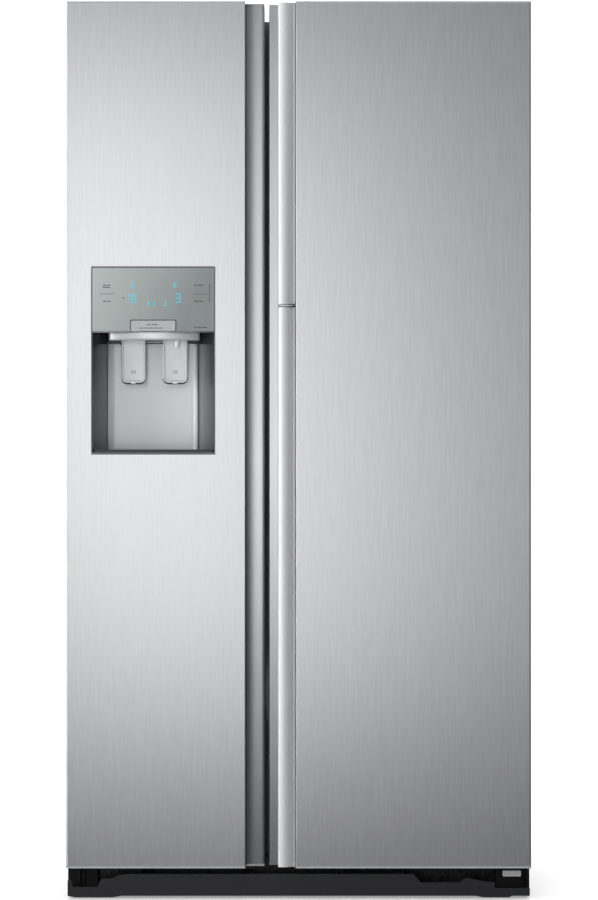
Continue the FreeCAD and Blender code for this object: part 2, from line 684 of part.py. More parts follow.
def build_dispenser(tunnel):
    front = s.door_front
    left, right, low, high = s.bezel_left, s.bezel_right, s.bezel_low, s.bezel_high
    shell = fuse(
        block((left - 3, right + 3), (front + s.skin, s.recess_rear + 9), (low - 3, high + 3)),
        block((left, right), (front, front + s.skin), (low, high)),
    )
    recess = prism("z", niche(front - 1, s.recess_rear, 0), s.recess_low, s.recess_high, [(12, (1, 2))])
    across = (s.chamber_left, s.chamber_right)
    chamber = block(across, (front + 12, s.recess_rear + 6), (s.recess_high + 6, high - 4))
    seat = block((left + 1.5, right - 1.5), (front - 1, front + 13), (s.recess_high, high - 1.5))
    outlet = (s.nozzle_x, s.nozzle_y)
    nozzle_hole = rod("z", outlet, 6, s.recess_high - 1, s.recess_high + 7)
    hollow = cut(shell, recess, chamber, seat, nozzle_hole, tunnel)
    spout = block((s.chute_left - 2, s.chute_right + 2), (-318, -292), (1086, s.tunnel_low - 14))
    bore = block((s.chute_left, s.chute_right), (-316, -294), (1085, s.tunnel_low))
    node("dispenser_housing", cut(fuse(hollow, spout), bore))

    glass = block((left + 1.8, right - 1.8), (front + 0.3, front + 3.3), (s.panel_low + 0.3, high - 1.8))
    board = block((left + 20, right - 20), (front + 6, front + 11), (s.panel_low + 12, high - 14))
    posts = [
        rod("y", (x, z), 4, front + 3.3, front + 6)
        for x in (left + 40, right - 40) for z in (s.panel_low + 25, high - 22)
    ]
    node("control_panel", fuse(glass, board, *posts))

    bow = [
        (-371, -352), (-371, -359), (-355, -365), (-320, -371), (-284, -374),
        (-248, -371), (-213, -365), (-197, -359), (-197, -352),
    ]
    node("chute_trim", prism("z", bow, 1098, s.recess_high))

    top = s.recess_high + 14
    nozzle = fuse(rod("z", outlet, 5.9, 1092, top), rod("z", outlet, 3, 1083, 1096))
    node("water_nozzle", cut(nozzle, rod("z", outlet, 1.6, 1082, top + 1)))

    y = s.lever_y
    for name, xs in (("ice_lever", (-347.7, -299.7)), ("water_lever", (-266.4, -217.4))):
        paddle = rounded(block(xs, (y - 2, y + 2), (1012, s.lever_pivot)), 10,
                         lambda m, way: abs(way.y) > 0.9 and m.z < 1020)
        node(name, fuse(paddle, rod("x", (y, s.lever_pivot), 3.5, xs[0] - 4, xs[1] + 4)))

    floor, rim = s.recess_low + 1, s.recess_low + 7
    tray = prism("z", niche(front + 4, s.recess_rear - 4, 2), floor, rim, [(6, (1, 2))])
    well = prism("z", niche(front + 6, s.recess_rear - 6, 4), floor + 2, rim + 1)
    grille = new("Part::Common")
    grille.Base = prism("z", niche(front + 5, s.recess_rear - 5, 3), rim - 3, rim)
    grille.Tool = fuse(*[block((-410, -160), (y, y + 4), (rim - 4, rim + 1)) for y in range(-366, -298, 10)])
    node("drip_tray", fuse(cut(tray, well), grille))

    reach, height = (s.chute_left + 1, s.chute_right - 1), (s.tunnel_low - 4, s.tunnel_high - 4)
    flap = block(reach, (-288, -285.5), height)
    pivot = rod("x", (-287, s.tunnel_high - 3), 2.5, s.chute_left - 4, s.chute_right + 4)
    node("ice_flap", fuse(flap, pivot))

    bucket = tub((-386, -138), (s.door_rear, -150), (1170, 1530), s.bin_wall)
    axle = (s.auger_y, s.auger_z)
    node("ice_bucket", cut(bucket, tunnel, rod("x", axle, s.auger_shaft + 0.06, -390, -130)))
    shaft = rod("x", axle, s.auger_shaft, -385.5, -138.5)
    flights = []
    for number in range(9):
        disc = Part.makeCylinder(24, 3, FreeCAD.Vector(0, 0, -1.5), FreeCAD.Vector(0, 0, 1), 180)
        disc.rotate(FreeCAD.Vector(), FreeCAD.Vector(1, 0, 0), 14)
        disc.rotate(FreeCAD.Vector(), FreeCAD.Vector(0, 0, 1), 80 * number)
        spot = FreeCAD.Vector(-366 + 26 * number, s.auger_y.number, s.auger_z.number)
        place = FreeCAD.Placement(spot, AXIS_TURNS["x"])
        disc.Placement = place.multiply(disc.Placement)
        flights.append(made(disc))
    node("ice_auger", fuse(shaft, *flights))


def build_inner_door():
    front, rear = s.inner_front, s.door_rear
    low, top = s.door_low, s.door_top
    left = s.fridge_free + 2
    notch = hinge_notch(1)
    slab = block((left, s.door_half - s.skin), (front, rear), (low, top - 2))
    stile = block((left, s.handle_right - 2), (-339, front), (low + 2, top - 2))
    across, height = (s.window_left, s.window_right), (s.window_low, s.window_high)
    window = block(across, (front - 1, -100), height)
    tunnel = block((across[0] - 4, across[1] + 4), (rear, -165), (height[0] - 4, height[1] + 4))
    node("inner_door_frame", cut(fuse(slab, stile, tunnel), window, notch, *hinge_bores(1)))

    free = s.fridge_free
    edge = s.handle_left - 0.6
    strip = [
        (free, rear), (free, s.grip_face), (edge, s.grip_face), (edge, -339), (left, -339), (left, rear),
    ]
    node("inner_door_trim", prism("z", strip, low + 2, top - 2, [(1.5, (1,))]))

    arms = []
    x, y = spot = (s.showcase_hinge_x, s.showcase_hinge_y)
    for plate, pin in ((1726, (1728, 1745)), (81, (67, 84))):
        arm = block((x - 8, x + 8), (y - 8, front), (plate, plate + 5))
        arms.append(fuse(arm, rod("z", spot, s.small_pin, *pin)))
    node("showcase_hinges", group(*arms))

    node("inner_gasket", ring((-48, 434), (rear, s.gasket_rear), (86, 1728), s.gasket_leg))
    bins = [
        tub((s.window_left + 1, s.window_right - 1), (front + 3, -168), (z, z + s.bin_height), s.bin_wall)
        for z in (531, 820, 1090, 1360)
    ]
    node("inner_bins", group(*bins))
    node("lower_handle", handle(low + 2, s.split_low, Size(-339), s.handle_right))


def build_showcase_door():
    front, rear, skin = s.door_front, s.showcase_rear, s.skin
    left, right = s.showcase_left, s.door_half
    low, top = s.door_low, s.door_top
    across, along = (s.showcase_hinge_x - 14, right + 1), (front + 7, rear + 1)
    slots = [block(across, along, zs) for zs in ((1722, 1733), (79, 90))]
    outline = [
        (left, rear), (left, front), (right, front), (right, rear), (right - skin, rear),
        (right - skin, front + skin), (left + skin, front + skin), (left + skin, rear),
    ]
    folded = prism("z", outline, low + s.cap_lip, top - s.cap_lip,
                   [(s.edge_round, (2,)), (s.edge_round - skin, (5,)), (2, (1,))])
    node("showcase_skin", cut(folded, *slots))

    face, back = front + skin + s.glue, rear - 2
    stile, side = right - 44, right - skin - s.glue
    boards = [
        block((left + skin + s.glue, stile), (face, back), (low + 6, top - 6)),
        block((stile, side), (face, back), (90, 1722)),
    ]
    node("showcase_core", group(*boards))
    node("showcase_liner", cut(block((left + skin, right - skin), (back, rear), (low + 4, top - 4)), *slots))

    lip = [(left, rear), (left, front), (right, front), (right, rear)]
    caps = []
    spot = (s.showcase_hinge_x, s.showcase_hinge_y)
    ends = ((low, (low + 4, 79), (64, 80)), (top - 4, (1733, top - 4), (1732, 1748)))
    for lip_low, plug, bore in ends:
        plate = prism("z", lip, lip_low, lip_low + s.cap_lip, [(s.edge_round, (2,)), (2, (1,))])
        knuckle = block((stile, side), (face + 2, back), plug)
        caps.append(cut(fuse(plate, knuckle), rod("z", spot, s.small_bore, *bore)))
    node("showcase_caps", group(*caps))

    node("showcase_gasket", ring((4, 430), (rear, front + 56.7), (506, 1722), s.gasket_leg))
    node("upper_handle", handle(s.split_high, top - 2, Size(-341.5), left))


build_cabinet()
build_freezer_door()
build_inner_door()
build_showcase_door()
doc.recompute()

os.makedirs("parts", exist_ok=True)
for item in doc.Objects:
    if {"Invalid", "Error"} & set(item.State):
        raise RuntimeError(f"{item.Label} did not recompute")
for name, item in nodes.items():
    shape = item.Shape
    if shape.isNull() or not shape.isValid():
        raise RuntimeError(f"{name} is not a valid solid")
    shape.exportStep(f"parts/{name}.step")
    box = shape.BoundBox
    print(f"{name:22s} {len(shape.Solids):3d} solids  x {box.XMin:.1f} {box.XMax:.1f}"
          f"  y {box.YMin:.1f} {box.YMax:.1f}  z {box.ZMin:.1f} {box.ZMax:.1f}")
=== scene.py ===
import math

import bmesh
import bpy
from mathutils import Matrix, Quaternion, Vector


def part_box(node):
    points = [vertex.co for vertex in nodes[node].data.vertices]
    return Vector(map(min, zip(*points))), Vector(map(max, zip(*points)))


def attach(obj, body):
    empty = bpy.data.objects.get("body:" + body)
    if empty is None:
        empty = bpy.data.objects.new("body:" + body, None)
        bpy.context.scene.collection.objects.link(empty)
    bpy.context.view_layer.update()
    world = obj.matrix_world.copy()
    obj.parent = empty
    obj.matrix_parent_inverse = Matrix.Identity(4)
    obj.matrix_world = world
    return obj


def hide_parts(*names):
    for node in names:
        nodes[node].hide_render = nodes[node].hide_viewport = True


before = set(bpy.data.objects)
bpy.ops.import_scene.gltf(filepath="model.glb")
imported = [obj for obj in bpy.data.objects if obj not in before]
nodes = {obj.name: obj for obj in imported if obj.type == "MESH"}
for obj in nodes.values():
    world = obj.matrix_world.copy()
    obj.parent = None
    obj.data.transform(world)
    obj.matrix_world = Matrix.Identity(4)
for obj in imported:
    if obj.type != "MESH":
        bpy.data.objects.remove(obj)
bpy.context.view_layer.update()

MM = 0.001                  # metres in a millimetre
RING_SIDES = 32             # sides of a turned piece
HEAD_SIDES = 20             # sides of a screw head


# ---------------------------------------------------------------- materials

def link(tree, source, target):
    tree.links.new(source, target)


def mapped_noise(tree, scale, detail=4.0, roughness=0.55):
    """Noise in the object's own space, stretched by a scale per axis in 1/metre."""
    coords = tree.nodes.new("ShaderNodeTexCoord")
    mapping = tree.nodes.new("ShaderNodeMapping")
    mapping.inputs["Scale"].default_value = scale
    noise = tree.nodes.new("ShaderNodeTexNoise")
    noise.inputs["Scale"].default_value = 1.0
    noise.inputs["Detail"].default_value = detail
    noise.inputs["Roughness"].default_value = roughness
    link(tree, coords.outputs["Object"], mapping.inputs["Vector"])
    link(tree, mapping.outputs["Vector"], noise.inputs["Vector"])
    return noise.outputs["Fac"]


def ranged(tree, value, low, high, start=0.3, end=0.7):
    node = tree.nodes.new("ShaderNodeMapRange")
    node.inputs["From Min"].default_value = start
    node.inputs["From Max"].default_value = end
    node.inputs["To Min"].default_value = low
    node.inputs["To Max"].default_value = high
    link(tree, value, node.inputs["Value"])
    return node.outputs["Result"]


def finish_of(name, colour, rough, metal=0.0, grain=(60, 60, 60), tint=0.04, rough_swing=0.05,
              bump=0.08, depth=0.0002, fine=None, **sockets):
    """A procedural finish: colour, roughness and relief all vary with a grain."""
    mat = bpy.data.materials.new(name)
    mat.use_nodes = True
    tree = mat.node_tree
    shader = tree.nodes["Principled BSDF"]
    value = mapped_noise(tree, grain)
    mix = tree.nodes.new("ShaderNodeMix")
    mix.data_type = "RGBA"
    mix.inputs["A"].default_value = (*[c * (1 - tint) for c in colour], 1)
    mix.inputs["B"].default_value = (*[min(1, c * (1 + tint)) for c in colour], 1)
    link(tree, ranged(tree, value, 0, 1), mix.inputs["Factor"])
    link(tree, mix.outputs["Result"], shader.inputs["Base Color"])
    sheen = ranged(tree, value, max(0.02, rough - rough_swing), rough + rough_swing)
    link(tree, sheen, shader.inputs["Roughness"])
    relief = tree.nodes.new("ShaderNodeBump")
    relief.inputs["Strength"].default_value = bump
    relief.inputs["Distance"].default_value = depth
    link(tree, mapped_noise(tree, fine or [g * 4 for g in grain], 2.0), relief.inputs["Height"])
    link(tree, relief.outputs["Normal"], shader.inputs["Normal"])
    shader.inputs["Metallic"].default_value = metal
    for socket, setting in sockets.items():
        shader.inputs[socket.replace("_", " ")].default_value = setting
    return mat


def brushed(name, colour, rough, tint, lines, stretch, anisotropy):
    """Metal brushed along Z: long fine lines in colour, roughness and relief."""
    mat = finish_of(name, colour, rough, 1.0, (lines, lines, stretch), tint, 0.02, 0.03, 0.00004,
                    fine=(lines * 1.5, lines * 1.5, stretch * 1.5), Anisotropic=anisotropy)
    tree = mat.node_tree
    tangent = tree.nodes.new("ShaderNodeTangent")
    tangent.direction_type = "RADIAL"
    tangent.axis = "Z"
    shader = tree.nodes["Principled BSDF"]
    shader.inputs["Anisotropic Rotation"].default_value = 0.0
    link(tree, tangent.outputs["Tangent"], shader.inputs["Tangent"])
    return mat


def glow(name, colour, strength):
    mat = finish_of(name, colour, 0.4, grain=(900, 900, 900), tint=0.08)
    shader = mat.node_tree.nodes["Principled BSDF"]
    shader.inputs["Emission Color"].default_value = (*colour, 1)
    shader.inputs["Emission Strength"].default_value = strength
    return mat


STEEL = brushed("brushed_steel", (0.62, 0.625, 0.635), 0.37, 0.05, 380, 14, 0.5)
HANDLE = finish_of("handle_paint", (0.88, 0.885, 0.895), 0.38, 0.5, (900, 900, 60), 0.03, 0.04, 0.05)
CHANNEL = brushed("channel_metal", (0.48, 0.49, 0.505), 0.31, 0.03, 380, 14, 0.3)
TRIM = finish_of("trim_metal", (0.66, 0.665, 0.675), 0.40, 0.5, (30, 500, 500), 0.05, 0.03, 0.03)
TAB = finish_of("tab_metal", (0.40, 0.405, 0.415), 0.42, 1.0, (30, 500, 500), 0.06, 0.03, 0.03)
SILVER = finish_of("silver_paint", (0.60, 0.61, 0.62), 0.34, 0.55, (900, 900, 900), 0.05, 0.05, 0.05,
                   Coat_Weight=0.3)
FROST = finish_of("frosted_silver", (0.75, 0.76, 0.77), 0.45, 0.3, (1400, 1400, 1400), 0.06, 0.05, 0.08)
PADDLE = finish_of("paddle_paint", (0.62, 0.63, 0.64), 0.42, 0.3, (1400, 1400, 1400), 0.06, 0.05, 0.08)
CAP = finish_of("cap_plastic", (0.42, 0.43, 0.44), 0.38, 0.2, (500, 500, 500), 0.05)
PAINT = finish_of("cabinet_paint", (0.20, 0.205, 0.215), 0.42, 0.15, (500, 500, 500), 0.06, 0.06, 0.25,
                  0.0002, Coat_Weight=0.1)
ZINC = finish_of("zinc_sheet", (0.52, 0.54, 0.56), 0.42, 0.85, (38, 38, 38), 0.16, 0.12, 0.05)
COVER = finish_of("cover_sheet", (0.36, 0.37, 0.385), 0.45, 0.8, (60, 60, 60), 0.10, 0.08, 0.05)
FOAM = finish_of("foam", (0.75, 0.66, 0.42), 0.9, 0, (240, 240, 240), 0.10, 0.04, 0.5, 0.0006)
WHITE = finish_of("liner_plastic", (0.80, 0.81, 0.82), 0.26, 0, (260, 260, 260), 0.02, 0.05, 0.06,
                  Coat_Weight=0.15)
SHELL = finish_of("door_shell_plastic", (0.80, 0.81, 0.82), 0.28, 0, (260, 260, 260), 0.02, 0.05, 0.06,
                  Coat_Weight=0.15)
NATURAL = finish_of("white_plastic", (0.74, 0.74, 0.72), 0.38, 0, (300, 300, 300), 0.03)
CLEAR = finish_of("clear_plastic", (0.86, 0.92, 0.96), 0.10, 0, (120, 120, 120), 0.02, 0.04, 0.03,
                  Transmission_Weight=0.85, IOR=1.25)
GLASS = finish_of("shelf_glass", (0.80, 0.93, 0.90), 0.03, 0, (40, 40, 40), 0.02, 0.01, 0.01,
                  Transmission_Weight=0.9, IOR=1.3)
RUBBER = finish_of("gasket_rubber", (0.20, 0.205, 0.21), 0.62, 0, (700, 700, 700), 0.08, 0.06, 0.15)
DARK = finish_of("dark_plastic", (0.022, 0.022, 0.024), 0.42, 0, (1600, 1600, 1600), 0.18, 0.08, 0.25, 0.0001)
GREY = finish_of("dispenser_plastic", (0.30, 0.31, 0.32), 0.36, 0.1, (700, 700, 700), 0.05)
WALL = finish_of("recess_wall", (0.035, 0.037, 0.04), 0.22, 0.0, (300, 300, 300), 0.10, 0.05, 0.03,
                 Coat_Weight=0.5)
KICK = finish_of("kick_plastic", (0.012, 0.0125, 0.015), 0.48, 0, (900, 900, 900), 0.18, 0.06, 0.2, 0.0001)
# Near-black plastic with little reflection: painted shade for the openings behind and under the kick plate.
GUARD_SHADE = finish_of("guard_shade_plastic", (0.005, 0.005, 0.006), 0.5, 0, (600, 600, 600), 0.25, 0.06, 0.1, 0.0001,
                  Specular_IOR_Level=0.15)
BLACK_PAINT = finish_of("black_enamel", (0.015, 0.015, 0.016), 0.30, 0, (150, 150, 150), 0.2, 0.08, 0.1)
FINS = finish_of("fin_stock", (0.72, 0.73, 0.75), 0.38, 0.95, (160, 160, 160), 0.08)
PANEL = finish_of("panel_glass", (0.30, 0.335, 0.325), 0.42, 0, (40, 40, 4), 0.03, 0.03, 0.01)
RIM = finish_of("rim_plastic", (0.085, 0.095, 0.095), 0.36, 0.1, (700, 700, 700), 0.06)
INK = finish_of("printed_ink", (0.05, 0.055, 0.055), 0.5, 0, (1500, 1500, 1500), 0.15)
CYAN = glow("display_cyan", (0.05, 0.40, 0.50), 0.55)
LAMP = glow("lamp_cover", (0.95, 0.97, 1.0), 0.6)


def painted_light_ramp(mat, start, end, bright, dim):
    """Paint light and shade into a finish's colour: brighter at one point in space and darker at another, in
    millimetres.
    """
    tree = mat.node_tree
    shader = tree.nodes["Principled BSDF"]
    source = shader.inputs["Base Color"].links[0].from_socket
    way = Vector(end) - Vector(start)
    coords = tree.nodes.new("ShaderNodeTexCoord")
    along = tree.nodes.new("ShaderNodeVectorMath")
    along.operation = "DOT_PRODUCT"
    along.inputs[1].default_value = way / way.length_squared / MM
    link(tree, coords.outputs["Object"], along.inputs[0])
    first = Vector(start).dot(way) / way.length_squared
    level = ranged(tree, along.outputs["Value"], bright, dim, first, first + 1)
    scaled = tree.nodes.new("ShaderNodeVectorMath")
    scaled.operation = "SCALE"
    link(tree, source, scaled.inputs[0])
    link(tree, level, scaled.inputs["Scale"])
    link(tree, scaled.outputs["Vector"], shader.inputs["Base Color"])


# Painted light and shade on the handle bars: a painted highlight towards their left side, painted shade
# towards their right.
painted_light_ramp(HANDLE, (-31, 0, 0), (-11.5, 0, 0), 1.13, 0.6)
# Painted shade: the channel metal on the grip channel, inner door trim and handle spacer is painted darker
# towards the bottom.
painted_light_ramp(CHANNEL, (0, 0, 860), (0, 0, 430), 1.0, 0.62)
# Painted reflection on the control panel glass: lighter at its upper left, darker towards its lower right.
painted_light_ramp(PANEL, (-400, 0, 1240), (-215, 0, 1150), 1.42, 0.72)



def outer_edge_tone(mat, colour, side, top):
    """Give the outer side and top of a white shell another colour; limits in millimetres."""
    tree = mat.node_tree
    shader = tree.nodes["Principled BSDF"]
    source = shader.inputs["Base Color"].links[0].from_socket
    coords = tree.nodes.new("ShaderNodeTexCoord")
    split = tree.nodes.new("ShaderNodeSeparateXYZ")
    link(tree, coords.outputs["Object"], split.inputs["Vector"])
    outside = tree.nodes.new("ShaderNodeMath")
    outside.operation = "MAXIMUM"
    for number, (axis, limit) in enumerate((("X", side), ("Z", top))):
        past = tree.nodes.new("ShaderNodeMath")
        past.operation = "GREATER_THAN"
        past.inputs[1].default_value = limit * MM
        link(tree, split.outputs[axis], past.inputs[0])
        link(tree, past.outputs["Value"], outside.inputs[number])
    mix = tree.nodes.new("ShaderNodeMix")
    mix.data_type = "RGBA"
    mix.inputs["B"].default_value = (*colour, 1)
    link(tree, outside.outputs["Value"], mix.inputs["Factor"])
    link(tree, source, mix.inputs["A"])
    link(tree, mix.outputs["Result"], shader.inputs["Base Color"])


outer_edge_tone(SHELL, (0.42, 0.43, 0.44), 448, 1752)

CAD_FINISHES = {
    "freezer_door_skin": STEEL, "showcase_skin": STEEL, "inner_door_trim": CHANNEL,
    "freezer_door_caps": CAP, "showcase_caps": CAP, "cabinet_wrap": PAINT, "hinge_covers": PAINT,
    "back_panel": ZINC, "base_frame": BLACK_PAINT, "rear_cover": COVER, "hinges": BLACK_PAINT,
    "showcase_hinges": ZINC,
    "insulation": FOAM, "freezer_door_core": FOAM, "showcase_core": FOAM,
    "freezer_liner": WHITE, "fridge_liner": WHITE, "freezer_duct_cover": WHITE, "fridge_duct_cover": WHITE,
    "freezer_door_liner": WHITE, "inner_door_frame": SHELL, "showcase_liner": WHITE, "ice_maker": WHITE,
    "freezer_door_bins": CLEAR, "inner_bins": CLEAR, "freezer_drawer_upper": CLEAR,
    "freezer_drawer_lower": CLEAR, "crisper_upper": CLEAR, "crisper_lower": CLEAR, "ice_bucket": CLEAR,
    "freezer_shelves": GLASS, "fridge_shelves": GLASS,
    "freezer_gasket": RUBBER, "inner_gasket": RUBBER, "showcase_gasket": RUBBER,
    "drip_tray": DARK, "water_nozzle": NATURAL, "ice_flap": NATURAL, "ice_auger": NATURAL,
    "water_filter": NATURAL, "freezer_fan": NATURAL, "condenser_fan": DARK, "water_valve": NATURAL,
    "kick_plate": KICK, "power_inlet": DARK, "roller_left": DARK, "roller_right": DARK,
    "foot_left": DARK, "foot_right": DARK, "evaporator": FINS, "condenser": FINS, "compressor": BLACK_PAINT,
}
SOFT_EDGES = {
    "kick_plate": 2.0, "drip_tray": 0.6, "freezer_door_bins": 1.0, "inner_bins": 1.0,
    "freezer_drawer_upper": 1.2, "freezer_drawer_lower": 1.2, "crisper_upper": 1.2, "crisper_lower": 1.2,
    "ice_bucket": 1.2, "inner_door_frame": 1.5, "freezer_shelves": 1.0, "fridge_shelves": 1.0,
    "freezer_gasket": 2.0, "inner_gasket": 2.0, "showcase_gasket": 1.6, "hinges": 0.8,
    "showcase_hinges": 0.8, "ice_maker": 1.5, "water_valve": 1.0, "base_frame": 0.5,
}


def soften(obj, width, segments=2):
    edge = obj.modifiers.new("edges", "BEVEL")
    edge.width = width * MM
    edge.segments = segments
    edge.limit_method = "ANGLE"
    edge.angle_limit = math.radians(40)
    edge.use_clamp_overlap = True


for name, mat in CAD_FINISHES.items():
    data = nodes[name].data
    data.materials.clear()
    data.materials.append(mat)
for name, width in SOFT_EDGES.items():
    soften(nodes[name], width)


# ---------------------------------------------------------------- making pieces

def piece(name, body, bm, mat, bevel=0.0, segments=3, sharp=35, subdivide=0):
    """A finished mesh piece, in millimetres until here, that rides on a body."""
    bmesh.ops.recalc_face_normals(bm, faces=bm.faces)
    bmesh.ops.scale(bm, vec=(MM, MM, MM), verts=bm.verts)
    mesh = bpy.data.meshes.new(name)
    bm.to_mesh(mesh)
    bm.free()
    mesh.materials.append(mat)
    mesh.shade_smooth()
    mesh.set_sharp_from_angle(angle=math.radians(sharp))
    obj = bpy.data.objects.new(name, mesh)
    bpy.context.scene.collection.objects.link(obj)
    if bevel:
        soften(obj, bevel, segments)
    if subdivide:
        levels = obj.modifiers.new("smooth", "SUBSURF")
        levels.levels = levels.render_levels = subdivide
    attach(obj, body)
    return obj


ORDER = {"z": (0, 1, 2), "y": (0, 2, 1), "x": (1, 2, 0)}


def extruded(outline, axis, low, high, bm=None):
    """A closed prism over a flat outline."""
    bm = bm or bmesh.new()
    u, v, w = ORDER[axis]

    def ring(level):
        verts = []
        for a, b in outline:
            place = [0, 0, 0]
            place[u], place[v], place[w] = a, b, level
            verts.append(bm.verts.new(place))
        return verts

    bottom, top = ring(low), ring(high)
    count = len(outline)
    for n in range(count):
        following = (n + 1) % count
        bm.faces.new((bottom[n], bottom[following], top[following], top[n]))
    bm.faces.new(bottom)
    bm.faces.new(top)
    return bm


def arc(cx, cy, radius, start, end, steps=8):
    """Points round a corner; angles in degrees."""
    return [
        (cx + radius * math.cos(math.radians(start + (end - start) * n / steps)),
         cy + radius * math.sin(math.radians(start + (end - start) * n / steps)))
        for n in range(steps + 1)
    ]


def soft_rect(x0, y0, x1, y1, radius, steps=6):
    """Corner points of a rectangle with rounded corners."""
    left, right, low, high = x0 + radius, x1 - radius, y0 + radius, y1 - radius
    return (arc(left, low, radius, 180, 270, steps) + arc(right, low, radius, 270, 360, steps)
            + arc(right, high, radius, 0, 90, steps) + arc(left, high, radius, 90, 180, steps))


def slab(name, body, low, high, mat, bevel=0.6, axis="z", radius=None):
    """A plate or bar with rounded corners along one axis and softened edges."""
    u, v, w = ORDER[axis]
    radius = radius or min(high[u] - low[u], high[v] - low[v]) * 0.12
    outline = soft_rect(low[u], low[v], high[u], high[v], radius)
    return piece(name, body, extruded(outline, axis, low[w], high[w]), mat, bevel)


def millis(name):
    """A CAD node's corners in millimetres."""
    low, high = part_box(name)
    return [c / MM for c in low], [c / MM for c in high]


# ---------------------------------------------------------------- handles and channels

HANDLE_RIGHT = -10.4        # right side of the lower handle, where the bead stands
SEAM_FRONT = -371           # front of the dark seam beside the upper handle


def handle(node, body):
    """Convex bar, undercut for the fingers, with a fine bead along its right side."""
    low, high = millis(node)
    left, right, front, back = low[0], HANDLE_RIGHT, low[1], high[1]
    crest = []
    for n in range(25):
        t = n / 24
        crest.append((left + 4.4 + (right - left - 5) * t, front + 0.4 + 9.0 * t ** 2.3))
    outline = (
        [(left + 0.4, front + 14)] + arc(left + 4.2, front + 4.2, 3.8, 180, 268, 10) + crest
        + [(right - 0.1, front + 9.4), (right + 0.2, front + 6)]
        + arc(right + 1.6, front + 4.4, 1.4, 190, 350, 8)
        + [(right + 3.0, back), (left + 19, back), (left + 19, front + 20), (left + 14, front + 17)]
        + arc(left + 4, front + 14, 2.6, 90, 180, 4)
    )
    obj = piece(node + "_bar", body, extruded(outline, "z", low[2], high[2]), HANDLE, 0.5, 2, 50)
    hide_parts(node)
    bead = arc(right + 1.6, front + 4.4, 1.5, 0, 345, 14)
    piece(node + "_bead", body, extruded(bead, "z", low[2] + 0.6, high[2] - 0.6), TRIM, 0.2, 2, 60)
    return obj


handle("lower_handle", "inner_door")
handle("upper_handle", "showcase_door")

lower_top = millis("lower_handle")[1][2]
upper_low, upper_high = millis("upper_handle")
slab("handle_spacer", "inner_door", (-40.2, -376.4, lower_top + 1.9), (-8.6, -340, upper_low[2] - 2.1),
     CHANNEL, 0.4)
# A dark slab in the seam between the upper handle and the door skin: painted shade for the groove.
slab("handle_seam_shade", "showcase_door", (-7.35, SEAM_FRONT, upper_low[2]), (-6.05, -341.6, upper_high[2]),
     DARK, 0.2)


def channel():
    """Finger channel of the freezer door: dark under the skin's edge, with a dark strip there as painted
    shade, then a smooth curve.
    """
    low, high = millis("freezer_grip")
    left, right, front, back = low[0], high[0], low[1], high[1]
    curve = []
    for n in range(15):
        t = n / 14
        x = left + 4 + (right - left - 8) * t
        curve.append((x, -341.8 - 12 * (1 - t) ** 4.4))
    face = [(-106.2, front + 1), (left + 5, front + 3.6)] + arc(left + 5, front + 7, 3, 270, 180, 5)
    face += [(left + 2, -345)] + curve + arc(right - 1.4, -340.2, 1.4, 290, 360, 5) + [(right, back)]
    inner = [(x - 1.6 if x > right - 3 else x, y + (1.6 if y > -352 else -1.4)) for x, y in face]
    inner[-1] = (right - 1.6, back)
    outline = face + [(x, y) for x, y in reversed(inner)]
    obj = piece("grip_channel", "freezer_door", extruded(outline, "z", low[2], high[2]), CHANNEL, 0, 2, 60)
    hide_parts("freezer_grip")
    # A thin dark strip along the skin's edge: painted shade for the gap under the skin's overhang.
    slab("skin_edge_shade_strip", "freezer_door", (-104.6, -361, low[2]), (-102.9, -353, high[2]), DARK, 0.3)


channel()

# ---------------------------------------------------------------- dispenser

BEZEL = (-407, -163.5, 873, 1242)               # left, right, bottom and top of the rim
FRONT = millis("dispenser_housing")[0][1]
RECESS = (876, 1112)                            # floor and ceiling heights
BACK_Y = -290                                   # back of the recess


def frame_ring(name, outer, inner, y0, y1, mat, bevel, radius=3):
    """A flat frame that faces the front."""
    bm = bmesh.new()
    rings = []
    for rect, r in ((outer, radius), (inner, max(radius - 1.5, 0.8))):
        for y in (y0, y1):
            corners = soft_rect(rect[0], rect[2], rect[1], rect[3], r)
            rings.append([bm.verts.new((x, y, z)) for x, z in corners])
    count = len(rings[0])
    for a, b in ((0, 1), (1, 3), (3, 2), (2, 0)):
        for n in range(count):
            following = (n + 1) % count
            bm.faces.new((rings[a][n], rings[a][following], rings[b][following], rings[b][n]))
    return piece(name, "freezer_door", bm, mat, bevel, 2)


rim_mouth = (BEZEL[0] + 2.6, BEZEL[1] - 2.6, BEZEL[2] + 4.5, BEZEL[3] - 3.2)
rim = frame_ring("dispenser_bezel", BEZEL, rim_mouth, FRONT + 0.05, FRONT + 10, RIM, 0.5)
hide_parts("dispenser_housing")

mouth = (BEZEL[0] + 2.2, BEZEL[1] - 2.2)
fold = (-379, -200)
for side, name in ((0, "left"), (1, "right")):
    way = 1 if side == 0 else -1
    wall = [(mouth[side], FRONT + 3), (fold[side], BACK_Y - 16), (fold[side], BACK_Y + 1),
            (mouth[side] - 2 * way, BACK_Y + 1), (mouth[side] - 2 * way, FRONT + 3)]
    piece("recess_wall_" + name, "freezer_door", extruded(wall, "z", RECESS[0] - 3, RECESS[1] + 2), WALL, 0.4)


def back_panel():
    """Silver back of the recess; its sides curve forward into bright folds."""
    left, right = fold
    face = [(left + 0.6, BACK_Y - 15)] + arc(left + 14, BACK_Y - 15, 13.4, 180, 96, 8)
    face += [(left + 16, BACK_Y - 1.2), (right - 16, BACK_Y - 1.2)]
    face += arc(right - 14, BACK_Y - 15, 13.4, 84, 0, 8)
    rear = [(right - 0.2, BACK_Y), (left + 0.2, BACK_Y)]
    body = extruded(face + rear, "z", RECESS[0] - 2, RECESS[1] + 1)
    return piece("recess_back", "freezer_door", body, FROST, 0, 2, 60)


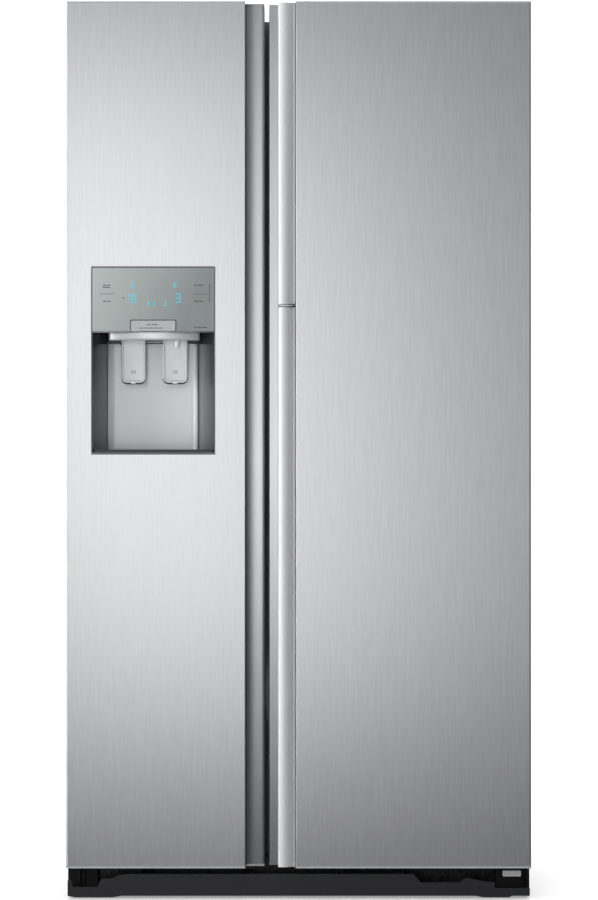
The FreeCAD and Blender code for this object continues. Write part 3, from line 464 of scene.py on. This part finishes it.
back_panel()
deck = [(mouth[0] - 1, FRONT + 3), (fold[0] - 1, BACK_Y), (fold[1] + 1, BACK_Y), (mouth[1] + 1, FRONT + 3)]
for name, low_z, high_z, mat in (("floor", RECESS[0] - 6, RECESS[0], GREY),
                                 ("ceiling", RECESS[1], RECESS[1] + 3, WALL)):
    piece("recess_" + name, "freezer_door", extruded(deck, "z", low_z, high_z), mat, 0.5)
funnel = [(-362, RECESS[1]), (-362, 1100), (-350, 1087), (-308, 1087), (-296, 1100), (-296, RECESS[1])]
piece("ice_spout", "freezer_door", extruded(funnel, "y", -318, -292), DARK, 1.5)
# A dark slab hanging below the recess ceiling in front of the back panel: painted shade for the ceiling's
# shadow on the top of the back wall.
slab("recess_shade_hood", "freezer_door", (-376, -320, 1092), (-194, -290.5, RECESS[1] + 1), WALL, 2)

trim_low, trim_high = millis("chute_trim")


def chute_trim():
    """Curved convex bar over the levers, swept along a shallow bow."""
    bm = bmesh.new()
    x0, x1, z0, z1 = trim_low[0] - 2, trim_high[0] + 2, trim_low[2] - 0.4, 1114.6
    tall = z1 - z0
    section = ((2.4, 0), (0.7, 0.5), (0, 1.8), (0, 6), (0, 11), (0, tall - 1.8), (0.7, tall - 0.5),
               (2.4, tall))
    rows = []
    for n in range(41):
        t = n / 40
        x = x0 + (x1 - x0) * t
        bow = 1 - (2 * t - 1) ** 2
        front = -358 - 17.6 * bow ** 0.8
        row = [bm.verts.new((x, front + back, z0 + up)) for back, up in section]
        row.append(bm.verts.new((x, -352, z1)))
        row.append(bm.verts.new((x, -352, z0)))
        rows.append(row)
    for one, two in zip(rows, rows[1:]):
        for k in range(len(one)):
            j = (k + 1) % len(one)
            bm.faces.new((one[k], one[j], two[j], two[k]))
    bm.faces.new(rows[0])
    bm.faces.new(rows[-1])
    obj = piece("chute_trim_bar", "freezer_door", bm, TRIM, 0, 2, 60)
    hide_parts("chute_trim")


chute_trim()

glass_low, glass_high = millis("control_panel")
panel = slab("control_glass", "freezer_door", (glass_low[0], FRONT + 0.3, glass_low[2]),
             (glass_high[0], FRONT + 3.6, glass_high[2]), PANEL, 0.7, "y", 2.4)
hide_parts("control_panel")
slab("panel_tab_rim", "freezer_door", (-331, FRONT + 0.2, 1114.8), (-239.6, FRONT + 2, 1137.6),
     DARK, 0.3, "y", 4)
slab("panel_tab", "freezer_door", (-329, FRONT + 0.02, 1114.8), (-241.5, FRONT + 2, 1135.8), TAB, 0.4, "y", 3)
FACE_Y = FRONT + 0.28


def marks(name, quads, mat, thick=0.16):
    """Thin printed or lit marks on the glass, given as (x0, z0, x1, z1)."""
    bm = bmesh.new()
    for x0, z0, x1, z1 in quads:
        r = min(x1 - x0, z1 - z0) * 0.3
        extruded(soft_rect(x0, z0, x1, z1, r, 3), "y", FACE_Y - thick, FACE_Y + 0.1, bm)
    return piece(name, "freezer_door", bm, mat)


SEGMENTS = {"0": "abcdef", "1": "bc", "2": "abged", "3": "abgcd", "8": "abcdefg", "9": "abcdfg"}


def digit(x, z, figure, wide=10, tall=20, bar=2.2):
    """Seven segment figure as quads; x, z is its lower left corner."""
    mid = z + tall / 2
    places = {
        "a": (x + bar, z + tall - bar, x + wide - bar, z + tall),
        "g": (x + bar, mid - bar / 2, x + wide - bar, mid + bar / 2),
        "d": (x + bar, z, x + wide - bar, z + bar), "f": (x, mid + 0.8, x + bar, z + tall - 1),
        "b": (x + wide - bar, mid + 0.8, x + wide, z + tall - 1), "e": (x, z + 1, x + bar, mid - 0.8),
        "c": (x + wide - bar, z + 1, x + wide, mid - 0.8),
    }
    return [places[s] for s in SEGMENTS[figure]]


lit = []
for x, figure, wide in ((-337, "1", 6), (-327, "8", 9), (-242.5, "3", 11)):
    lit += digit(x, 1170.5, figure, wide, 18.5, 1.9)
for x in (-330, -247):
    lit += [(x + abs(k - 1.5), 1200 + 2.8 * k, x + 9 - abs(k - 1.5), 1201.2 + 2.8 * k) for k in range(4)]
for x in (-298, -287, -264):
    lit += [(x, 1165, x + 7, 1166.2), (x + 1.2, 1169.6, x + 5.8, 1170.8), (x + 2.9, 1166, x + 4.1, 1175.5)]
marks("display_figures", lit, CYAN)

ink = [(-391, 1187.6, -361, 1188.4), (-209, 1187.6, -178, 1188.4)]
for low_x, spans in ((-384, ((0, 8), (9.5, 15))), (-205, ((0, 7), (8.5, 17)))):
    for z in (1204, 1172.5):
        ink += [(low_x + a, z, low_x + b, z + 1.8) for a, b in spans]
ink += [(-384, 1199.8, -370, 1201.4), (-346, 1179, -340.5, 1180.6)]
ink += [(-205, 1121.5, -200, 1123.5), (-198, 1121.5, -191, 1123.2), (-189.5, 1121.5, -180, 1123.2)]
ink += [(-176, 1172.5 + 5.2 * k, -173.6, 1175.2 + 5.2 * k) for k in range(7)]
marks("panel_print", ink, INK)
tab_lines = [(-298, 1126.6, -290, 1128.2), (-288, 1126.6, -276, 1128.2)]
tab_lines += [(-312 + 9.5 * k, 1120.4, -304.5 + 9.5 * k, 1122) for k in range(5)]
marks("tab_print", tab_lines, INK, 0.34)


def lever(node, x0, x1):
    """Hanging paddle with rounded lower corners, a raised rim and a dark lower lip."""
    low, high = millis(node)
    y, bottom, top = low[1] + 1.0, low[2], high[2] - 4

    def outline(inset, lift):
        r = 11 - inset
        left, right, low = x0 + inset, x1 - inset, bottom + lift
        return (arc(left + r, low + r, r, 180, 270, 8) + arc(right - r, low + r, r, 270, 360, 8)
                + [(right, top), (left, top)])

    bm = bmesh.new()
    loops = []
    steps = ((0, 0, y + 4.5), (0, 0, y + 1.2), (1.2, 1.2, y), (3.4, 5.5, y), (4.6, 7, y + 1.6))
    for inset, lift, depth in steps:
        loops.append([bm.verts.new((a, depth, b)) for a, b in outline(inset, lift)])
    for one, two in zip(loops, loops[1:]):
        for k in range(len(one)):
            j = (k + 1) % len(one)
            bm.faces.new((one[k], one[j], two[j], two[k]))
    bm.faces.new(loops[0])
    bm.faces.new(loops[-1])
    obj = piece(node + "_paddle", node, bm, PADDLE, 0.3, 2, 50)
    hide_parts(node)
    lip = arc(x0 + 11, bottom + 11, 11.2, 186, 268, 8) + arc(x1 - 11, bottom + 11, 11.2, 272, 354, 8)
    lip += [(a, b) for a, b in reversed([(min(max(a, x0 + 1.5), x1 - 1.5), b + 3.2) for a, b in lip])]
    piece(node + "_lip", node, extruded(lip, "y", y - 0.3, y + 4.7), DARK)
    middle = (x0 + x1) / 2
    slab(node + "_notch", node, (middle - 5, y - 0.6, bottom + 1), (middle + 5, y + 1, bottom + 4),
         SILVER, 0.4, "y", 1.2)
    slab(node + "_mark", node, (middle - 5, y + 1.2, bottom + 21), (middle + 5, y + 1.9, bottom + 27),
         CAP, 0.2, "y", 1.2)


lever("ice_lever", -350.4, -302.2)
lever("water_lever", -268.6, -219.3)


# ---------------------------------------------------------------- small fittings

def bolt(name, body, centre, axis, sign, radius=4.5, mat=ZINC):
    """Domed screw head with a cross recess, facing along an axis."""
    bm = bmesh.new()
    u, v, w = ORDER[axis]
    levels = ((radius, 0.0), (radius, 0.9), (radius * 0.86, 1.7), (radius * 0.55, 2.2), (radius * 0.3, 2.25),
              (radius * 0.16, 1.4))
    rings = []
    for r, lift in levels:
        ring = []
        for n in range(HEAD_SIDES):
            a = 2 * math.pi * n / HEAD_SIDES
            squeeze = 1.0 if lift != 1.4 else (1.0 if n % 5 else 1.5)
            place = [0, 0, 0]
            place[u] = centre[u] + r * squeeze * math.cos(a)
            place[v] = centre[v] + r * squeeze * math.sin(a)
            place[w] = centre[w] + lift * sign
            ring.append(bm.verts.new(place))
        rings.append(ring)
    for one, two in zip(rings, rings[1:]):
        for k in range(HEAD_SIDES):
            j = (k + 1) % HEAD_SIDES
            bm.faces.new((one[k], one[j], two[j], two[k]))
    bm.faces.new(rings[0])
    bm.faces.new(rings[-1])
    return piece(name, body, bm, mat, 0, 2, 40)


def turned(name, body, x, y, profile, mat):
    """A round piece on an upright axis, given as (radius, height) from one end to the other."""
    bm = bmesh.new()
    turns = [math.tau * n / RING_SIDES for n in range(RING_SIDES)]
    rings = [[bm.verts.new((x + r * math.cos(a), y + r * math.sin(a), z)) for a in turns] for r, z in profile]
    for one, two in zip(rings, rings[1:]):
        for k in range(RING_SIDES):
            j = (k + 1) % RING_SIDES
            bm.faces.new((one[k], one[j], two[j], two[k]))
    bm.faces.new(rings[0])
    bm.faces.new(rings[-1])
    return piece(name, body, bm, mat, 0, 2, 50)


NOZZLE = ((2.4, 1083.2), (3.6, 1083.8), (4.2, 1085.6), (4.2, 1091.5), (5.7, 1093), (5.7, 1097), (4.6, 1098),
          (4.6, 1125))
spout = turned("nozzle_tip", "freezer_door", -240, -345, NOZZLE, WHITE)
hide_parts("water_nozzle")


GUARD_FRONT, RIDGE_FRONT, GUARD_BACK = -338, -344, -296


def guard(name, x0, x1, ridges):
    """Dark plastic block behind a low end of the kick plate, with upright ridges, and a dark slab behind it;
    their near-black finish is painted shade for the opening.
    """
    outline = [(x0, GUARD_FRONT)]
    for x in ridges:
        outline += [(x - 2.5, GUARD_FRONT), (x - 1.5, RIDGE_FRONT)]
        outline += [(x + 1.5, RIDGE_FRONT), (x + 2.5, GUARD_FRONT)]
    outline += [(x1, GUARD_FRONT), (x1, GUARD_BACK), (x0, GUARD_BACK)]
    piece(name, "cabinet", extruded(outline, "z", 3, 58), GUARD_SHADE, 0.8, 2)
    slab(name + "_floor", "cabinet", (x0 + 3, -296.5, 6), (x1 - 3, -244, 29), GUARD_SHADE, 1.5)


guard("guard_left", -455, -396, (-432, -423))
guard("guard_right", 388, 455, (443, 449))
# A dark tray on the floor behind the kick plate: painted shade under the cabinet.
slab("toe_shade_tray", "cabinet", (-396, -345.8, 5), (388, -244, 9), GUARD_SHADE, 0.8, "z", 4)
slab("hinge_strap", "cabinet", (401.7, -345.5, 41.4), (438.2, -339, 53.4), CAP, 1.2, "y", 2.4)

SHELF_LEVELS = {"freezer": (540, 770, 1000, 1230), "fridge": (520, 740, 970, 1200, 1430)}
for compartment, levels in SHELF_LEVELS.items():
    low, high = millis(compartment + "_shelves")
    for number, z in enumerate(levels, 1):
        slab(f"{compartment}_shelf_trim_{number}", "cabinet", (low[0] + 7, low[1] - 2.5, z - 8.5),
             (high[0] - 7, low[1] + 4.6, z + 9.6), WHITE, 1.6, "x", 2.2)

for number, (x0, x1, z) in enumerate(((-330, -170, 1686), (110, 260, 1686)), 1):
    slab(f"lamp_{number}", "cabinet", (x0, -190, z - 6), (x1, -158, z + 1.5), LAMP, 2, "z", 8)

cover_face = millis("rear_cover")[1][1]
for number, x in enumerate(range(-430, 431, 172), 1):
    for row, z in enumerate((44, 246), 1):
        bolt(f"cover_screw_{row}_{number}", "cabinet", (x, cover_face - 1.3, z), "y", 1, 4)
back_face = millis("back_panel")[1][1]
slab("rating_label", "cabinet", (-300, back_face - 0.4, 1180), (-190, back_face + 0.06, 1260),
     NATURAL, 0, "y", 3)


# ---------------------------------------------------------------- stage, light and camera

scene = bpy.context.scene


def stage_material(name, colour, shine):
    mat = finish_of(name, colour, 0.7, 0, (3, 3, 3), 0.004, 0.02, 0.01)
    shader = mat.node_tree.nodes["Principled BSDF"]
    shader.inputs["Emission Color"].default_value = (1, 1, 1, 1)
    shader.inputs["Emission Strength"].default_value = shine
    return mat


def stage_plane(name, corners, mat):
    bm = bmesh.new()
    bm.faces.new([bm.verts.new(c) for c in corners])
    mesh = bpy.data.meshes.new(name)
    bm.to_mesh(mesh)
    bm.free()
    mesh.materials.append(mat)
    obj = bpy.data.objects.new(name, mesh)
    scene.collection.objects.link(obj)
    return obj


REACH, FLOOR_Z, BACKDROP_Y = 12, -0.0005, 6     # metres
corners = [(-REACH, -REACH, FLOOR_Z), (REACH, -REACH, FLOOR_Z),
           (REACH, REACH, FLOOR_Z), (-REACH, REACH, FLOOR_Z)]
floor = stage_plane("floor", corners, stage_material("pale_floor", (0.9, 0.9, 0.9), 0.32))
floor.visible_glossy = False

world = bpy.data.worlds.new("studio")
scene.world = world
world.use_nodes = True
tree = world.node_tree
background = tree.nodes["Background"]
coords = tree.nodes.new("ShaderNodeTexCoord")
split = tree.nodes.new("ShaderNodeSeparateXYZ")
ramp = tree.nodes.new("ShaderNodeValToRGB")
height = tree.nodes.new("ShaderNodeMapRange")
height.inputs["From Min"].default_value = -0.25
height.inputs["From Max"].default_value = 0.25
link(tree, coords.outputs["Generated"], split.inputs["Vector"])
link(tree, split.outputs["Z"], height.inputs["Value"])
link(tree, height.outputs["Result"], ramp.inputs["Fac"])
link(tree, ramp.outputs["Color"], background.inputs["Color"])
ramp.color_ramp.elements[0].color = (0.05, 0.05, 0.05, 1)
ramp.color_ramp.elements[1].color = (0.24, 0.24, 0.25, 1)


def one_sided(mat):
    """Clear when met from behind, so that the object can be seen from the back."""
    tree = mat.node_tree
    out = tree.nodes["Material Output"]
    mix = tree.nodes.new("ShaderNodeMixShader")
    link(tree, tree.nodes.new("ShaderNodeNewGeometry").outputs["Backfacing"], mix.inputs["Fac"])
    link(tree, tree.nodes["Principled BSDF"].outputs["BSDF"], mix.inputs[1])
    link(tree, tree.nodes.new("ShaderNodeBsdfTransparent").outputs["BSDF"], mix.inputs[2])
    link(tree, mix.outputs["Shader"], out.inputs["Surface"])
    return mat


corners = [(-REACH, BACKDROP_Y, -1), (REACH, BACKDROP_Y, -1),
           (REACH, BACKDROP_Y, REACH), (-REACH, BACKDROP_Y, REACH)]
stage_plane("backdrop", corners, one_sided(stage_material("pale_backdrop", (0.9, 0.9, 0.9), 1.2)))


def area(name, place, aim, size, power, roll=0):
    data = bpy.data.lights.new(name, "AREA")
    data.shape = "RECTANGLE"
    data.size, data.size_y = size
    data.energy = power
    lamp = bpy.data.objects.new(name, data)
    lamp.location = place
    facing = (Vector(aim) - Vector(place)).to_track_quat("-Z", "Y")
    lamp.rotation_euler = (facing @ Quaternion((0, 0, 1), math.radians(roll))).to_euler()
    scene.collection.objects.link(lamp)
    return lamp


area("key_left", (-0.55, -4.2, 1.08), (-0.3, -0.4, 1.0), (0.5, 2.3), 24, 12)
area("top", (0.0, -1.2, 4.0), (0, 0.2, 0.8), (3.0, 3.0), 45)
area("side_left", (-3.6, -2.2, 0.95), (0, -0.4, 0.95), (0.9, 3.2), 62)
area("back", (0, 5.0, 3.5), (0, 0, 0.5), (4, 2), 120)

DISTANCE = 6.0              # camera to the door fronts, metres
SEEN = 1.764                # height seen at the door fronts, metres
SENSOR = 36                 # millimetres
camera_data = bpy.data.cameras.new("camera")
camera_data.lens = SENSOR * DISTANCE / SEEN
camera_data.clip_end = 60
camera = bpy.data.objects.new("camera", camera_data)
camera.location = (0.0006, -0.377 - DISTANCE, SEEN / 2)
camera.rotation_euler = (math.radians(90), 0, 0)
scene.collection.objects.link(camera)
scene.camera = camera
scene.view_settings.view_transform = "Standard"
scene.view_settings.look = "None"
